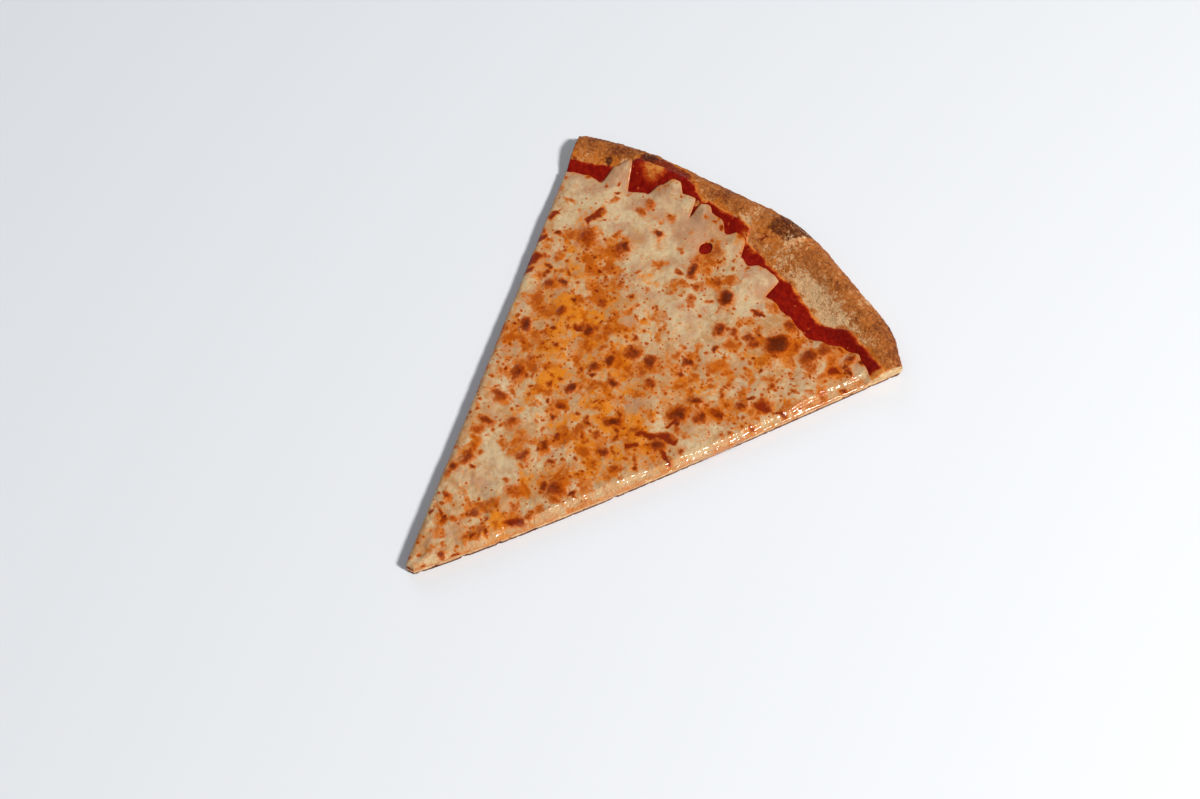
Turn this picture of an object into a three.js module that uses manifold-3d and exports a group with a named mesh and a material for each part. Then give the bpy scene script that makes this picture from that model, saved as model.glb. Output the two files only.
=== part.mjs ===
// A large slice of thin cheese pizza lying flat: an eighth of a pie, cut with a wheel.
// Three layers, each a solid of its own: the dough with its raised rim, the tomato sauce spread
// on it, and the melted cheese, which runs over the sauce and down one cut side in drips.
// Millimetres, +Z up, +Y from the point of the slice to its rim, origin under the middle.

import * as THREE from "three";
import { mergeVertices } from "three/addons/utils/BufferGeometryUtils.js";
import Module from "manifold-3d";

// ---- driving dimensions ----

const PIE_RADIUS = 249; // the pie's centre to the outside of the rim
const HALF_ANGLE = 24; // degrees from the slice's centreline to each cut
const TIP_RADIUS = 6; // the point is worn off at this distance from the pie's centre
const RIGHT_CUT_BOW = 2; // how far the right-hand cut bulges out
const BOW_SKEW = 0.75; // under 1 brings the most bulging place nearer the point
const RIGHT_CUT_SHIFT = 1.9; // how far that cut lies inside its straight line at the point
const SHIFT_FADE = 4; // the higher, the sooner that shift is gone, from the point outwards

const DOUGH_THICKNESS = 4;
const SAUCE_THICKNESS = 0.8;
const CHEESE_THICKNESS = 2.3;
const CHEESE_EDGE_THICKNESS = 1; // at its far edge, to which it thins over the next width
const CHEESE_EDGE_WIDTH = 6;
const LAYER_GAP = 0.3; // clearance between two layers, and between dripped cheese and dough

const RIM_HEIGHT = 12.5;
const RIM_FOOT = 222; // radius at which the dough starts to rise to the rim
const RIM_CREST_INSET = 9; // from the outside of the rim in to its crest
const RIM_BELLY_HEIGHT = 4.5; // height of the rim's widest point
const RIM_TUCK = 3; // how far the rim curves back in below that

const STATION_ANGLE = 2; // degrees between the sections that a layer is lofted from
const OUTLINE_ANGLE = 0.5; // degrees between the points of a topping's far edge
const OUTLINE_MARGIN = 6.5; // degrees that this edge is carried on past each cut
const THIN_EDGE = 0.3; // least thickness where the cheese is rounded off at a cut
const MERGE_DISTANCE = 1e-4; // points closer together than this are one

// What swells or sinks along the rim: centre and half width in degrees, and size in mm.
const RIM_RADIUS_SWELLS = [
  { at: 4.5, half: 10, size: 4 }, // a dark blister pushes the rim out
  { at: -9.5, half: 5, size: -1.4 },
  { at: 25.5, half: 6.5, size: -6.5 },
  { at: -25, half: 4, size: -2.2 },
];
const RIM_HEIGHT_SWELLS = [
  { at: 3.2, half: 4, size: 1.6 }, // the same blister
  { at: 14, half: 8, size: 1 },
  { at: 24, half: 7, size: -2.6 },
  { at: -24, half: 14, size: -2.8 },
];

// How far out each topping reaches, as [degrees from the centreline, mm from the pie's centre].
const SAUCE_REACH = [
  [-24, 231], [-19, 232.5], [-17.2, 233.5], [-16.2, 240], [-10, 240], [-8.8, 238.5],
  [-7, 234.6], [-4.5, 235], [0, 235.3], [0.8, 229.3], [5.5, 227], [9, 227],
  [12.5, 224.5], [14.5, 224.5], [18, 231.5], [21.5, 232.5], [24, 233.5],
];
const CHEESE_REACH = [
  [-24, 224], [-21, 225], [-19.3, 223.2], [-18.2, 232.5], [-16.8, 237.5], [-15.6, 223.8],
  [-13.3, 225.8], [-12, 231], [-10.9, 235.6], [-10.1, 235], [-9.1, 232], [-7.5, 232.2],
  [-7, 224.5], [-6.5, 231.6], [-5.4, 232.4], [-4.8, 230.6], [-3.3, 230.2], [-1.8, 226.5],
  [-0.8, 229], [0.3, 229.3], [1.6, 221.2], [2.9, 219.7], [4, 223], [5.1, 224.4],
  [7, 224.2], [7.6, 213.2], [8.7, 214.2], [11, 213.8], [15.4, 213.8], [17.2, 219.6],
  [18.8, 224.7], [21.2, 227.8], [24, 226.5],
];

// Low waves on top of a layer: height and wavelength in mm, and the turn of phase in radians per
// degree at the rim, which is less towards the point.
const DOUGH_WAVES = [{ height: 0.15, length: 110, slant: 0.2 }];
const CHEESE_WAVES = [
  { height: 0.3, length: 57, slant: 1 },
  { height: 0.25, length: 132, slant: -0.25 },
];

// A gap in the cheese where the sauce shows.
const CHEESE_HOLE = { angle: -2.7, radius: 214.5, halfWidth: 3.2, halfLength: 4 };
const HOLE_PINCH = 1.15; // 1 is an ellipse, and 2 a diamond with straight sides
const HOLE_SIDES = 16;

// Drips of cheese over the right-hand cut: radius, half length, and how far they hang down.
const DRIPS = [
  { at: 150, half: 22, size: 4.8 },
  { at: 96, half: 10, size: 2 },
  { at: 44, half: 9, size: 1.8 },
  { at: 200, half: 12, size: 1.4 },
];

// The rounding of the cheese at a cut, from the slice outwards: how far it stands out from the
// cut, how far its top has sunk, and whether it hangs down outside the layers below.
const LEFT_ROUNDING = [
  { out: -2.3, sink: 0.2 },
  { out: -1, sink: 0.6 },
  { out: -0.2, sink: 1.2 },
  { out: 0.2, sink: 1.9 },
];
const RIGHT_ROUNDING = [
  { out: -1.6, sink: 0.2 },
  { out: -0.4, sink: 0.6 },
  { out: 0.3, sink: 1 },
  { out: 0.36, sink: 1.1, hangs: true },
  { out: 0.9, sink: 2, hangs: true },
];
const ROOM_RADIUS = 80; // from here out, the slice is wide enough for the whole rounding

const LEVEL_ROWS = [TIP_RADIUS, 25, 50, 80, 110, 140, 165, 190, 207, 215];
const RIM_SLOPE_STEPS = 6;
const RIM_TUCK_STEPS = 4;

// Evenly spaced numbers with both ends.
function steps(from, to, step) {
  return Array.from({ length: Math.round((to - from) / step) + 1 }, (_, i) => from + i * step);
}

const stations = steps(-HALF_ANGLE, HALF_ANGLE, STATION_ANGLE);

// ---- shape functions ----

const radians = THREE.MathUtils.degToRad;

// A smooth bell: 1 at the centre, 0 from half a width away.
function bell(x, centre, half) {
  const t = Math.min(1, Math.abs(x - centre) / half);
  return 0.5 + 0.5 * Math.cos(Math.PI * t);
}

function swells(list, x) {
  return list.reduce((sum, s) => sum + s.size * bell(x, s.at, s.half), 0);
}

function waves(list, angle, radius) {
  const arc = (angle * radius) / PIE_RADIUS;
  const height = (w) => w.height * Math.sin((2 * Math.PI * radius) / w.length + w.slant * arc);
  return list.reduce((sum, w) => sum + height(w), 0);
}

// Follows [x, y] pairs, levelling off at each, as the lobes of a spread topping do.
function along(pairs, x) {
  const inside = THREE.MathUtils.clamp(x, pairs[0][0], pairs.at(-1)[0]);
  const next = Math.max(1, pairs.findIndex(([px]) => px >= inside));
  const [[x0, y0], [x1, y1]] = [pairs[next - 1], pairs[next]];
  return THREE.MathUtils.lerp(y0, y1, THREE.MathUtils.smoothstep(inside, x0, x1));
}

const rimRadius = (angle) => PIE_RADIUS + swells(RIM_RADIUS_SWELLS, angle);
const rimHeight = (angle) => RIM_HEIGHT + swells(RIM_HEIGHT_SWELLS, angle);
const crestRadius = (angle) => rimRadius(angle) - RIM_CREST_INSET;

// The top of the dough: nearly level, then the inner slope of the rim.
function doughTop(angle, radius) {
  const base = DOUGH_THICKNESS + waves(DOUGH_WAVES, angle, radius);
  const rise = THREE.MathUtils.smoothstep(radius, RIM_FOOT, crestRadius(angle));
  return THREE.MathUtils.lerp(base, rimHeight(angle), rise);
}

const sauceBottom = (angle, radius) => doughTop(angle, radius) + LAYER_GAP;
const sauceTop = (angle, radius) => sauceBottom(angle, radius) + SAUCE_THICKNESS;
const cheeseBottom = (angle, radius) => sauceTop(angle, radius) + LAYER_GAP;

// The cheese lies in low mounds and thins towards its far edge.
function cheeseTop(angle, radius) {
  const fromEdge = along(CHEESE_REACH, angle) - radius;
  const full = THREE.MathUtils.smoothstep(fromEdge, 0, CHEESE_EDGE_WIDTH);
  const thickness = CHEESE_THICKNESS + waves(CHEESE_WAVES, angle, radius);
  return cheeseBottom(angle, radius) + THREE.MathUtils.lerp(CHEESE_EDGE_THICKNESS, thickness, full);
}

// How far a point near the right-hand cut is moved out by that cut's bow and shift.
function rightCutMove(angle, radius) {
  const outwards = THREE.MathUtils.inverseLerp(TIP_RADIUS, PIE_RADIUS, radius);
  const t = THREE.MathUtils.clamp(outwards, 0, 1);
  const nearness = Math.max(0, angle / HALF_ANGLE);
  const bow = RIGHT_CUT_BOW * Math.sin(Math.PI * t ** BOW_SKEW);
  return nearness * (bow - RIGHT_CUT_SHIFT * (1 - t) ** SHIFT_FADE);
}

// A point of the slice from its plan angle and radius. `out` moves it out of the slice, square
// to the cut that is nearer, or into the slice, where it moves less near the narrow point.
function place(angle, radius, z, out = 0) {
  const turn = radians(angle);
  const side = Math.sign(angle);
  const cut = radians(HALF_ANGLE * side);
  const room = out < 0 ? Math.min(1, radius / ROOM_RADIUS) : 1;
  const move = side * (out * room + rightCutMove(angle, radius));
  return new THREE.Vector3(
    radius * Math.sin(turn) + move * Math.cos(cut),
    radius * Math.cos(turn) - move * Math.sin(cut),
    z,
  );
}

// ---- solids from sections ----

// A closed solid through rings of points with the same count, which run along the underside
// from the point of the slice to the rim and back along the top, from the left cut to the right.
// Each end is closed by a strip that joins the points of the underside to those over them.
function loft(rings) {
  const count = rings[0].length;
  const positions = rings.flat().flatMap((p) => [p.x, p.y, p.z]);
  const last = (rings.length - 1) * count;
  const index = [];
  for (let i = 0; i < last; i += count) {
    for (let k = 0; k < count; k++) {
      const a = i + k;
      const b = i + ((k + 1) % count);
      index.push(a, b, a + count, b, b + count, a + count);
    }
  }
  for (let low = 0, high = count - 1; low + 1 < high; low++, high--) {
    index.push(low, high, low + 1);
    index.push(last + low, last + low + 1, last + high);
    if (low + 1 < high - 1) {
      index.push(low + 1, high, high - 1);
      index.push(last + low + 1, last + high - 1, last + high);
    }
  }
  const geometry = new THREE.BufferGeometry();
  geometry.setAttribute("position", new THREE.Float32BufferAttribute(positions, 3));
  geometry.setIndex(index);
  return geometry;
}

// Radii of the rows of points up to the crest of the rim, the same for all layers, so that each
// layer lies parallel to the one below.
function rows(angle) {
  const slope = crestRadius(angle) - RIM_FOOT;
  return [...LEVEL_ROWS, ...steps(0, 1, 1 / RIM_SLOPE_STEPS).map((t) => RIM_FOOT + t * slope)];
}

// The dough in section at one angle.
function doughSection(angle) {
  const outside = rimRadius(angle);
  const height = rimHeight(angle);
  const crest = crestRadius(angle);
  const belly = RIM_BELLY_HEIGHT;
  const radii = rows(angle);
  const under = radii.map((r) => [r, 0]);
  const over = radii.map((r) => [r, doughTop(angle, r)]);
  under.push([(crest + outside - RIM_TUCK) / 2, 0]);
  for (let i = 0; i < RIM_TUCK_STEPS; i++) {
    const t = (i / RIM_TUCK_STEPS) * (Math.PI / 2);
    under.push([outside - RIM_TUCK * (1 - Math.sin(t)), belly * (1 - Math.cos(t))]);
  }
  for (let i = 1; i <= RIM_TUCK_STEPS + 1; i++) {
    const t = (i / (RIM_TUCK_STEPS + 2)) * (Math.PI / 2);
    const r = THREE.MathUtils.lerp(crest, outside, Math.sin(t));
    over.push([r, belly + (height - belly) * Math.cos(t)]);
  }
  const profile = [...under, [outside, belly], ...over.toReversed()];
  return profile.map(([r, z]) => place(angle, r, z));
}

// One section of a topping out to the crest of the rim, between its underside and its top, which
// is lowered by `sink` but stays over the underside.
function toppingSection(angle, bottomOf, topOf, { out = 0, sink = 0 } = {}) {
  const radii = rows(angle);
  const under = radii.map((r) => place(angle, r, bottomOf(angle, r), out));
  const over = radii.map((r) => {
    const z = Math.max(topOf(angle, r) - sink, bottomOf(angle, r) + THIN_EDGE);
    return place(angle, r, z, out);
  });
  return [...under, ...over.toReversed()];
}

const sauceSection = (angle) => toppingSection(angle, sauceBottom, sauceTop);

function cheeseSection(angle, { hangs = false, ...rounding } = {}) {
  const bottom = (a, r) => cheeseBottom(a, r) - (hangs ? swells(DRIPS, r) : 0);
  return toppingSection(angle, bottom, cheeseTop, rounding);
}

function cheeseSections() {
  const inner = stations.slice(1, -1);
  return [
    ...LEFT_ROUNDING.toReversed().map((step) => cheeseSection(-HALF_ANGLE, step)),
    ...inner.map((angle) => cheeseSection(angle)),
    ...RIGHT_ROUNDING.map((step) => cheeseSection(HALF_ANGLE, step)),
  ];
}

// An upright block with the plan outline of a topping's far edge, and wider than the slice.
function reachGeometry(reach) {
  const widest = HALF_ANGLE + OUTLINE_MARGIN;
  const edge = steps(-widest, widest, OUTLINE_ANGLE).map((angle) => {
    const { x, y } = place(angle, along(reach, angle), 0);
    return new THREE.Vector2(x, y);
  });
  const behindPoint = new THREE.Vector2(0, -TIP_RADIUS);
  return new THREE.ExtrudeGeometry(new THREE.Shape([behindPoint, ...edge.toReversed()]), {
    depth: 2 * RIM_HEIGHT,
    bevelEnabled: false,
  });
}

// An upright soft diamond, which is cut out of the cheese.
function holeGeometry() {
  const { angle, radius, halfWidth, halfLength } = CHEESE_HOLE;
  const pinched = (v) => Math.sign(v) * Math.abs(v) ** HOLE_PINCH;
  const outline = Array.from({ length: HOLE_SIDES }, (_, i) => {
    const t = (2 * Math.PI * i) / HOLE_SIDES;
    return new THREE.Vector2(halfWidth * pinched(Math.cos(t)), halfLength * pinched(Math.sin(t)));
  });
  const geometry = new THREE.ExtrudeGeometry(new THREE.Shape(outline), {
    depth: RIM_HEIGHT,
    bevelEnabled: false,
  });
  const middle = place(angle, radius, 0);
  return geometry.translate(middle.x, middle.y, 0);
}

// ---- joining and cutting ----

const wasm = await Module();
wasm.setup();

function solidOf(geometry) {
  const bare = geometry.clone();
  bare.deleteAttribute("normal");
  bare.deleteAttribute("uv");
  const merged = mergeVertices(bare, MERGE_DISTANCE);
  return new wasm.Manifold(
    new wasm.Mesh({
      numProp: 3,
      vertProperties: merged.attributes.position.array,
      triVerts: new Uint32Array(merged.index.array),
    }),
  );
}

function geometryOf(solid) {
  const mesh = solid.getMesh();
  const geometry = new THREE.BufferGeometry();
  geometry.setAttribute("position", new THREE.BufferAttribute(mesh.vertProperties, mesh.numProp));
  geometry.setIndex(new THREE.BufferAttribute(mesh.triVerts, 1));
  return geometry;
}

const dough = loft(stations.map(doughSection));
const sauce = solidOf(loft(stations.map(sauceSection))).intersect(solidOf(reachGeometry(SAUCE_REACH)));
const cheese = solidOf(loft(cheeseSections()))
  .intersect(solidOf(reachGeometry(CHEESE_REACH)))
  .subtract(solidOf(holeGeometry()));

// ---- the slice ----

function layer(name, geometry, material) {
  geometry.computeVertexNormals();
  const mesh = new THREE.Mesh(geometry, new THREE.MeshStandardMaterial(material));
  mesh.name = name;
  return mesh;
}

const slice = new THREE.Group();
slice.add(
  layer("dough", dough, { color: 0xd9a066, roughness: 0.8, metalness: 0 }),
  layer("sauce", geometryOf(sauce), { color: 0x8c1505, roughness: 0.35, metalness: 0 }),
  layer("cheese", geometryOf(cheese), { color: 0xe3b878, roughness: 0.4, metalness: 0 }),
);

const extent = new THREE.Box3().setFromObject(slice);
const middle = extent.getCenter(new THREE.Vector3());
slice.position.set(-middle.x, -middle.y, -extent.min.z);

export default slice;
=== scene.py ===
"""A large slice of thin cheese pizza: browned dough with a raised rim, tomato sauce and cheese.

Lengths are millimetres in the slice's own plan until a mesh is made: the centre of the pie is the
origin, +Y runs from the point of the slice to its rim, and angles are degrees from that line, with
plus on the right. Meshes are metres in the frame.
"""

import math

import bpy
import numpy as np
from mathutils import Matrix, Vector, kdtree, noise
from mathutils.geometry import delaunay_2d_cdt


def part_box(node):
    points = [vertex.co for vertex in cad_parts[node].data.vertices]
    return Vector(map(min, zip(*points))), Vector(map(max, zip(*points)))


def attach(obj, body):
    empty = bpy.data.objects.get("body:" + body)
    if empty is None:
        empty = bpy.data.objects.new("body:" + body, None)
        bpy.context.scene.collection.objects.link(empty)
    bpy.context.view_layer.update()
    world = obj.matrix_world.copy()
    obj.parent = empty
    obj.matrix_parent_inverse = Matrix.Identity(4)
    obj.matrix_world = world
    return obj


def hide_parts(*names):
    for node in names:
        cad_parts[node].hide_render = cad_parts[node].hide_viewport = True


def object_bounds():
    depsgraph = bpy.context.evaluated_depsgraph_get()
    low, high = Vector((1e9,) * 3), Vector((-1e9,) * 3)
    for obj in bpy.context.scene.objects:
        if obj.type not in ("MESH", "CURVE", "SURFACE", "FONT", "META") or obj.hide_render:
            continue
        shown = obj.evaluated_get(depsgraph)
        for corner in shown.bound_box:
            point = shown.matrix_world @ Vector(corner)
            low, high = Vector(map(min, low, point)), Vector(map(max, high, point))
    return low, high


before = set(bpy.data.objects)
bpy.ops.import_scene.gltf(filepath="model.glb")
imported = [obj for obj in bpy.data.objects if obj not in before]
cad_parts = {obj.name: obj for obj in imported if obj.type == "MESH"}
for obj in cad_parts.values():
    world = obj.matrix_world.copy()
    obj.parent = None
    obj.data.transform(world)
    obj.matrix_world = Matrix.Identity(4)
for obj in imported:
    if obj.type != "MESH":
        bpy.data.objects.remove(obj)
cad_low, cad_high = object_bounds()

MM = 0.001

# ---- sizes of the slice, the same as the frame's ----

PIE_RADIUS = 249
HALF_ANGLE = 24
TIP_RADIUS = 6
RIGHT_CUT_BOW = 2
BOW_SKEW = 0.75
RIGHT_CUT_SHIFT = 1.9
SHIFT_FADE = 4

DOUGH_THICKNESS = 4
SAUCE_THICKNESS = 0.8
CHEESE_THICKNESS = 2.3
LAYER_GAP = 0.3

RIM_HEIGHT = 12.5
RIM_FOOT = 222
RIM_CREST_INSET = 9
RIM_BELLY_HEIGHT = 4.5
RIM_TUCK = 3

# Where the rim is wider or higher: centre and half width in degrees, and how much in mm.
RIM_RADIUS_SWELLS = [(4.5, 10, 4), (-9.5, 5, -1.4), (25.5, 6.5, -6.5), (-25, 4, -2.2)]
RIM_HEIGHT_SWELLS = [(3.2, 4, 1.6), (14, 8, 1), (24, 7, -2.6), (-24, 14, -2.8)]

# How far out each topping reaches: degrees, and mm from the centre of the pie.
SAUCE_REACH = [
    (-24, 231), (-19, 232.5), (-17.2, 233.5), (-16.2, 240), (-10, 240), (-8.8, 238.5),
    (-7, 234.6), (-4.5, 235), (0, 235.3), (0.8, 229.3), (5.5, 227), (9, 227),
    (12.5, 224.5), (14.5, 224.5), (18, 231.5), (21.5, 232.5), (24, 233.5),
]
CHEESE_REACH = [
    (-24, 224), (-21, 225), (-19.3, 223.2), (-18.2, 232.5), (-16.8, 237.5), (-15.6, 223.8),
    (-13.3, 225.8), (-12, 231), (-10.9, 235.6), (-10.1, 235), (-9.1, 232), (-7.5, 232.2),
    (-7, 224.5), (-6.5, 231.6), (-5.4, 232.4), (-4.8, 230.6), (-3.3, 230.2), (-1.8, 226.5),
    (-0.8, 229), (0.3, 229.3), (1.6, 221.2), (2.9, 219.7), (4, 223), (5.1, 224.4),
    (7, 224.2), (7.6, 213.2), (8.7, 214.2), (11, 213.8), (15.4, 213.8), (17.2, 219.6),
    (18.8, 224.7), (21.2, 227.8), (24, 226.5),
]

# Low waves on top of a layer: height and length in mm, and radians of phase per degree at the rim.
DOUGH_WAVES = [(0.15, 110, 0.2)]
CHEESE_WAVES = [(0.3, 57, 1), (0.25, 132, -0.25)]

# The gap in the cheese: degrees, mm out, half width and half length, and how pinched it is.
HOLE_ANGLE = -2.7
HOLE_RADIUS = 214.5
HOLE_HALF = (3.2, 4)
HOLE_PINCH = 1.15

# Drips over the right-hand cut: mm from the centre, half length, and how far they hang down.
DRIPS = [(150, 22, 4.8), (96, 10, 2), (44, 9, 1.8), (200, 12, 1.4)]

# ---- how fine the meshes are ----

CHEESE_SPACING = 0.56
SAUCE_SPACING = 0.6
SKIN_SPACING = 0.62
CRUMB_SPACING = 0.6
UNDER_SPACING = 2.2
HIDDEN_SPACING = 4
HIDDEN_BORDER_SPACING = 1.5
HIDDEN_BORDER = 3  # mm from the border over which hidden parts are finer
OUTLINE_STEPS = 1200
SHIFT_STEPS = 481
MERGE_DIGITS = 4  # decimals of a millimetre to which points that coincide agree
FILL_SEED = 1
FILL_CLEARANCE = 0.55  # of inner points from the border, in spacings
FILL_JITTER = 0.12  # of inner points, in spacings

# ---- looks that are placed ----

# The larger browned blisters on the cheese: x, y, radius in mm, and strength from 0 to 1.
BLISTERS = [
    (49, 194, 6, 1), (47.7, 206, 3.6, 0.5), (67, 204.5, 3.6, 0.3), (64, 198, 3.8, 0.6),
    (79, 209, 2.8, 0.4), (82, 203.5, 2, 0.7), (15.5, 197, 4.4, 0.9), (-6, 199.5, 3.4, 0.8),
    (-32, 204.5, 2.6, 0.8), (-56, 181, 5.5, 0.3), (-40, 186, 5, 0.35), (37.7, 188.5, 2.6, 0.4),
    (30, 185, 2.3, 0.4), (24, 182, 3, 0.6), (24, 159.5, 2.5, 0.7), (39, 147, 3, 0.7),
    (2, 147, 4, 0.5), (11, 149, 3, 0.7), (-21, 143, 3, 0.7), (37, 137, 4.4, 0.7),
    (5.5, 129.5, 2.8, 0.7), (-6, 130, 2.4, 0.6), (-45, 125.5, 3.6, 0.7), (18, 115, 3.4, 0.9),
    (40, 118, 4, 0.6), (-7, 115, 2.6, 0.8), (-5, 106, 2.4, 0.6), (-30.5, 105, 3.4, 0.6),
    (25, 101, 2.6, 0.6), (-28, 91, 3.4, 0.5), (4, 85.5, 3.2, 0.5), (-15, 85, 2.8, 0.4),
    (-24, 78, 2.6, 0.5), (0, 75.5, 3, 0.4), (21.5, 74, 4, 0.6), (-18, 60, 3, 0.4),
    (-52, 150, 3.4, 0.4), (-37, 142, 3, 0.5), (56, 159, 2.8, 0.5), (3, 42, 2.6, 0.4),
    (-46.5, 215, 2.6, 0.1), (-46.5, 209.5, 2.2, 0.1), (-33, 216, 2, 0.1), (-17.5, 57.5, 2.4, 0.5),
    (-12, 39.5, 1.8, 0.5), (9.5, 33.5, 1.6, 0.6), (7, 18, 1.7, 0.6), (3.5, 10, 1.6, 0.6),
]

# Wet streaks where dark sauce has come up through the cheese: from x, y to x, y, and half width.
SAUCE_STREAKS = [
    (62, 163, 65, 165, 2.4), (71, 166, 73, 168, 1.3), (17.5, 49.5, 21, 53, 2.2),
    (76, 198, 77, 201, 1.5), (30, 117, 37, 121.5, 1.1), (38, 122.5, 44, 126, 1.3),
    (44, 117, 50, 115.5, 1), (-61.5, 188, -61, 197, 1), (38, 129, 39, 133, 1),
    (-74, 164, -72, 169, 1.3), (-68, 153, -66, 158, 1.6), (-66, 146, -64, 151, 1.3),
    (-78, 178, -76, 183, 1.1), (-11, 16, -9, 19, 0.8), (11, 22, 13, 27, 0.9),
    (29.6, 200, 34, 202, 1), (31, 109, 33, 113, 1), (-27, 140, -24, 141, 0.9),
]

# Where the cheese is browned, oily, thin over the sauce, or still pale: x, y, radius of the region,
# and strength.
BROWNED = [
    (-45, 176, 34, 0.7), (-20, 150, 42, 0.8), (60, 165, 42, 0.9), (48, 196, 34, 0.9),
    (18, 112, 40, 0.9), (-32, 112, 34, 0.8), (20, 74, 24, 0.8), (-18, 76, 20, 0.5),
    (2, 198, 26, 0.8), (4, 44, 20, 0.5), (25, 145, 34, 0.7), (72, 190, 26, 0.9), (1, 228, 7, 1),
]
OILY = [
    (-24, 146, 42, 1), (-6, 122, 36, 0.9), (26, 106, 30, 1), (-56, 158, 24, 0.6),
    (34, 152, 26, 0.5), (12, 78, 20, 0.4), (15, 40, 12, 0.8), (-48, 178, 24, 0.4),
    (1, 228, 7, 1), (56, 172, 30, 0.45),
]
VEILED = [
    (-20, 217, 12, 0.8), (-33, 209, 10, 0.7), (38, 215, 8, 0.6), (-53, 208, 5, 0.6),
    (22, 214, 10, 0.5), (74, 209, 6, 0.5), (-68, 216, 6, 0.8), (-26, 44, 8, 0.4),
    (-60, 190, 10, 0.4), (-13, 228, 5, 0.5), (-45, 196, 7, 0.6),
]
PALE = [
    (-62, 205, 30, 1), (-34, 218, 26, 1), (-22, 190, 22, 0.8), (10, 182, 20, 0.8),
    (24, 212, 22, 1), (-22, 96, 16, 0.8), (-4, 62, 16, 0.9), (50, 130, 9, 0.7),
    (-3, 165, 14, 0.6), (-60, 140, 14, 0.4),
]

# ---- shape functions, on whole arrays ----


def smoothstep(x, low, high):
    t = np.clip((x - low) / (high - low), 0, 1)
    return t * t * (3 - 2 * t)


def fade(x, start, end):
    return 1 - smoothstep(x, start, end)


def bell(x, centre, half):
    return 0.5 + 0.5 * np.cos(np.pi * np.minimum(1, np.abs(x - centre) / half))


def swells(places, x):
    return sum(size * bell(x, at, half) for at, half, size in places)


def waves(parts, angle, radius):
    return sum(
        height * np.sin(2 * np.pi * radius / length + slant * angle * radius / PIE_RADIUS)
        for height, length, slant in parts
    )


def along(pairs, x):
    """Follows (x, y) pairs and levels off at each, as the lobes of a spread topping do."""
    xs, ys = np.array(pairs, float).T
    inside_range = np.clip(x, xs[0], xs[-1])
    i = np.clip(np.searchsorted(xs, inside_range) - 1, 0, len(xs) - 2)
    return ys[i] + (ys[i + 1] - ys[i]) * smoothstep(inside_range, xs[i], xs[i + 1])


def rim_radius(angle):
    return PIE_RADIUS + swells(RIM_RADIUS_SWELLS, angle)


def rim_height(angle):
    return RIM_HEIGHT + swells(RIM_HEIGHT_SWELLS, angle)


def crest_radius(angle):
    return rim_radius(angle) - RIM_CREST_INSET


def dough_top(angle, radius):
    base = DOUGH_THICKNESS + waves(DOUGH_WAVES, angle, radius)
    rise = smoothstep(radius, RIM_FOOT, crest_radius(angle))
    return base + (rim_height(angle) - base) * rise


def cheese_bottom(angle, radius):
    return dough_top(angle, radius) + LAYER_GAP + SAUCE_THICKNESS + LAYER_GAP


def polar(points):
    """Angle and radius of plan points."""
    return np.degrees(np.arctan2(points[:, 0], points[:, 1])), np.hypot(points[:, 0], points[:, 1])


def plan(angle, radius, out=0.0):
    """Plan points from angle and radius, moved out of the slice square to the nearer cut."""
    angle, radius, out = np.broadcast_arrays(
        np.asarray(angle, float), np.asarray(radius, float), np.asarray(out, float)
    )
    turn = np.radians(angle)
    side = np.sign(angle)
    cut = np.radians(HALF_ANGLE) * side
    return np.column_stack([
        radius * np.sin(turn) + side * out * np.cos(cut),
        radius * np.cos(turn) - side * out * np.sin(cut),
    ])


def bowed(points):
    """Plan points after the bow and the shift of the right-hand cut."""
    angle, radius = polar(points)
    t = np.clip((radius - TIP_RADIUS) / (PIE_RADIUS - TIP_RADIUS), 0, 1)
    bow = RIGHT_CUT_BOW * np.sin(np.pi * t**BOW_SKEW)
    move = np.clip(angle / HALF_ANGLE, 0, None) * (bow - RIGHT_CUT_SHIFT * (1 - t) ** SHIFT_FADE)
    cut = math.radians(HALF_ANGLE)
    return points + np.outer(move, [math.cos(cut), -math.sin(cut)])


def fractal(points, size, seed, octaves=3):
    """Smooth noise, about -1 to 1, whose largest features are about `size` mm across."""
    flat = np.zeros((len(points), 3))
    flat[:, : points.shape[1]] = points / size
    return np.array([noise.fractal(p, 1.0, 2.0, octaves) for p in (flat + 17.3 * seed).tolist()])


def line_noise(lengths, size, seed, octaves=2):
    """Smooth noise along a line, at lengths in mm."""
    return fractal(np.reshape(np.asarray(lengths, float), (-1, 1)), size, seed, octaves)


def layered(points, noises):
    """The sum of noises given as height, size, seed and octaves."""
    return sum(height * fractal(points, *settings) for height, *settings in noises)


def lumps(points, height, size, seed, floor):
    """Rounded lumps, where a noise is above its floor."""
    return height * np.clip(fractal(points, size, seed) - floor, 0, None)


def warped(points, amount, size, seed):
    """Plan points moved about by noise, which makes what is measured from them uneven."""
    moves = [fractal(points, size, seed + k, 2) for k in range(2)]
    return points + amount * np.column_stack(moves)


def regions(points, places):
    """How strongly each point lies in the given soft round regions, from 0 to 1."""
    total = np.zeros(len(points))
    for x, y, radius, strength in places:
        distance = np.hypot(points[:, 0] - x, points[:, 1] - y)
        total = np.maximum(total, strength * fade(distance, 0.35 * radius, 1.1 * radius))
    return total


# ---- meshes ----


def spaced(start, end, spacing):
    """Evenly spaced numbers with both ends, about `spacing` apart."""
    return np.linspace(start, end, max(2, round(abs(end - start) / spacing) + 1))


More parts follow.
